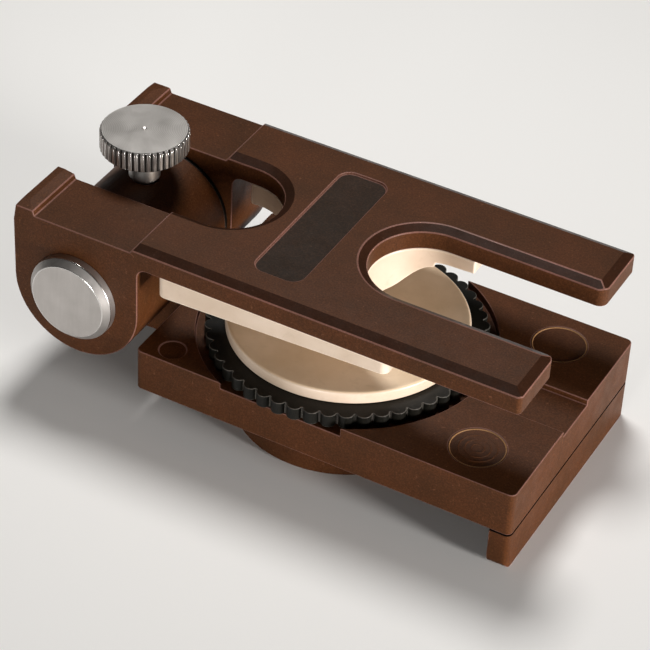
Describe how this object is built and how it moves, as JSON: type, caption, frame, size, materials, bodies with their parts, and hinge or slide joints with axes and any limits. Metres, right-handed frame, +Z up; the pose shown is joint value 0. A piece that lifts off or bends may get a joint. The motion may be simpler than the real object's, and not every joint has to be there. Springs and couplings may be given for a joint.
{
  "type": "watch movement holder",
  "caption": "Small bench holder: a finger wheel raises a round table towards a flared pad under a forked clamp arm, which tips on a rear hinge and is locked by a knurled thumb screw",
  "frame": {"origin": "on the bench, under the common axis of the finger wheel and the table", "axes": "+Z up, +X along the arm towards the fork tips, +Y to the left seen from the hinge; the hinge axis runs along Y"},
  "size_m": [0.0888, 0.0456, 0.0395],
  "materials": {
    "brown_plastic": "satin moulded thermoset",
    "ivory_plastic": "satin ivory plastic",
    "black_plastic": "satin black plastic",
    "satin_metal": "satin turned",
    "screw_steel": "turned",
    "brass": "turned"
  },
  "bodies": {
    "base": {"base_body": "brown_plastic", "foot_bar": "brown_plastic", "foot_screws": "screw_steel", "hub_boss": "brown_plastic", "boss_screws": "screw_steel", "thrust_washer": "brass", "hinge_bushes": "brass", "hinge_washers": "black_plastic", "screw_insert": "brass"},
    "wheel": {"finger_wheel": "black_plastic", "wheel_nut": "brass", "wheel_ring": "screw_steel"},
    "table": {"lift_spindle": "screw_steel", "table_disc": "ivory_plastic", "table_screws": "screw_steel"},
    "arm": {"clamp_arm": "brown_plastic", "clamp_pad": "ivory_plastic", "pad_screws": "screw_steel", "hinge_axle": "satin_metal", "axle_nut": "satin_metal", "axle_dowel": "screw_steel"},
    "shoe": {"clamp_shoe": "brass"},
    "screw": {"thumb_screw": "satin_metal"}
  },
  "joints": [
    {"name": "arm_hinge", "type": "hinge", "parent": "base", "child": "arm", "pos_m": [-0.03775, 0, 0.0198], "axis": [0, -1, 0], "range_deg": [-1, 95]},
    {"name": "wheel_turn", "type": "hinge", "parent": "base", "child": "wheel", "pos_m": [0, 0, 0.014], "axis": [0, 0, 1], "range_deg": [0, 1080]},
    {"name": "table_lift", "type": "slide", "parent": "base", "child": "table", "axis": [0, 0, 1], "range_m": [0, 0.003]},
    {"name": "shoe_slide", "type": "slide", "parent": "base", "child": "shoe", "axis": [0, 0, 1], "range_m": [0, 0.0014]},
    {"name": "thumb_turn", "type": "hinge", "parent": "shoe", "child": "screw", "pos_m": [-0.03775, 0, 0.037], "axis": [0, 0, 1], "range_deg": [0, 720]}
  ],
  "couplings": [
    {"joint": "wheel_turn", "follows": "table_lift", "rad_per_m": 6283.1},
    {"joint": "thumb_turn", "follows": "shoe_slide", "rad_per_m": 8975.9}
  ]
}
